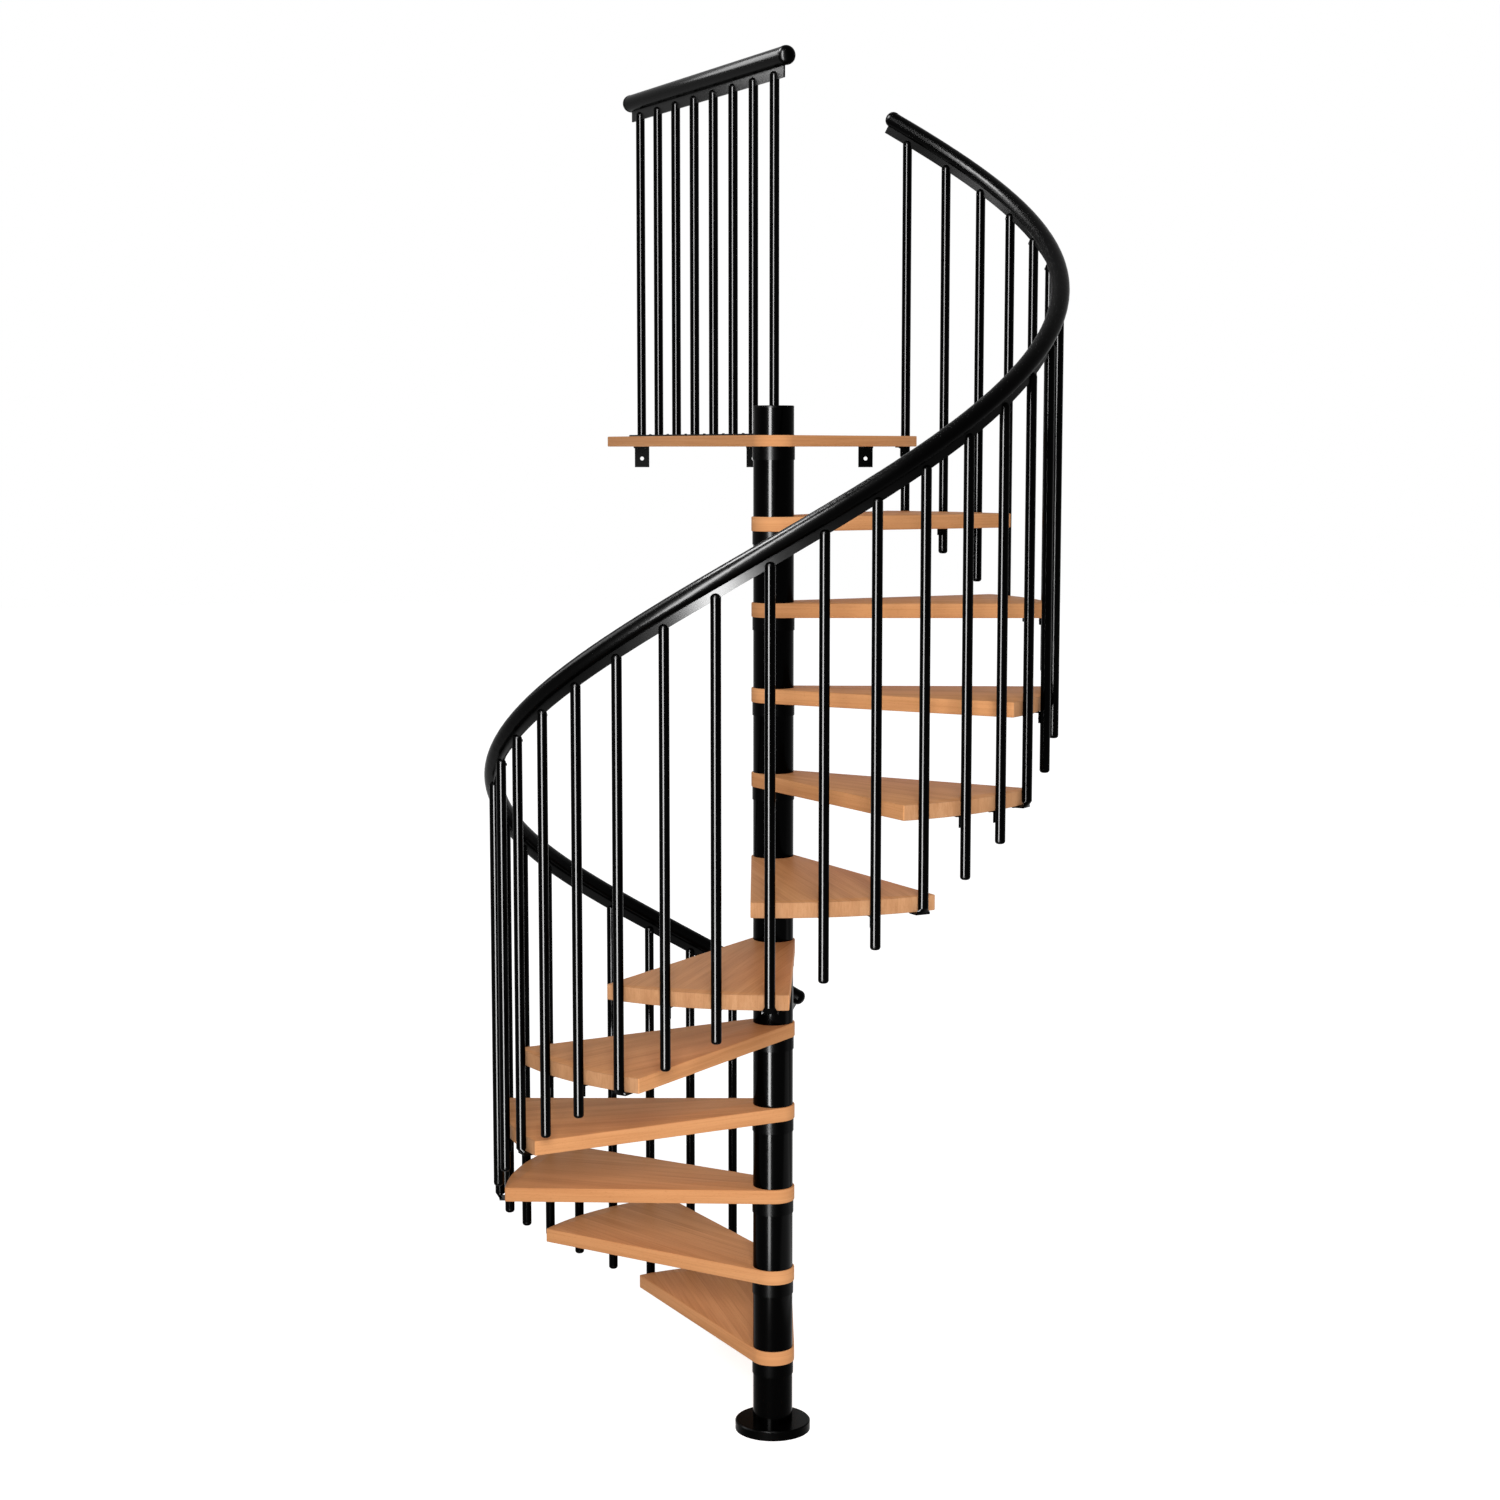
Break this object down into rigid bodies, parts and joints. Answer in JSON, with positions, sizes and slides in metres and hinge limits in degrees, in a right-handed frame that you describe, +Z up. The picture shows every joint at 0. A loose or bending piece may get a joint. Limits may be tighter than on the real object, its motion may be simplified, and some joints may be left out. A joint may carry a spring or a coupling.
{
  "type": "spiral staircase",
  "caption": "Spiral staircase: wooden treads and a landing board on a black steel column, with a helical handrail, round balusters and a straight landing railing.",
  "frame": {"origin": "centre of the base plate's underside, on the floor, on the column's axis", "axes": "+Z up along the column; +Y from the column to the landing's back edge; +X to the right of someone who looks along +Y"},
  "size_m": [1.5948, 1.8325, 3.8562],
  "materials": {
    "black_steel": "gloss black powder coat",
    "black_plastic": "gloss black moulding",
    "beech_wood": "clear satin varnish on steamed beech"
  },
  "bodies": {
    "root": {"baluster_brackets": "black_steel", "baluster_lower_caps": "black_plastic", "baluster_top_caps": "black_plastic", "base_cover": "black_plastic", "base_plate": "black_steel", "bent_balusters": "black_steel", "centre_pole": "black_steel", "column_cap": "black_plastic", "column_collars": "black_plastic", "column_sleeves": "black_steel", "first_baluster": "black_steel", "first_baluster_foot": "black_steel", "floor_brackets": "black_steel", "handrail": "black_plastic", "handrail_caps": "black_plastic", "handrail_strip": "black_steel", "landing_baluster_caps": "black_plastic", "landing_balusters": "black_steel", "landing_base_strip": "black_steel", "landing_board": "beech_wood", "landing_handrail": "black_plastic", "landing_handrail_caps": "black_plastic", "landing_rail_strip": "black_steel", "straight_balusters": "black_steel", "top_sleeve": "black_steel", "tread_01": "beech_wood", "tread_02": "beech_wood", "tread_03": "beech_wood", "tread_04": "beech_wood", "tread_05": "beech_wood", "tread_06": "beech_wood", "tread_07": "beech_wood", "tread_08": "beech_wood", "tread_09": "beech_wood", "tread_10": "beech_wood", "tread_11": "beech_wood"}
  },
  "joints": []
}
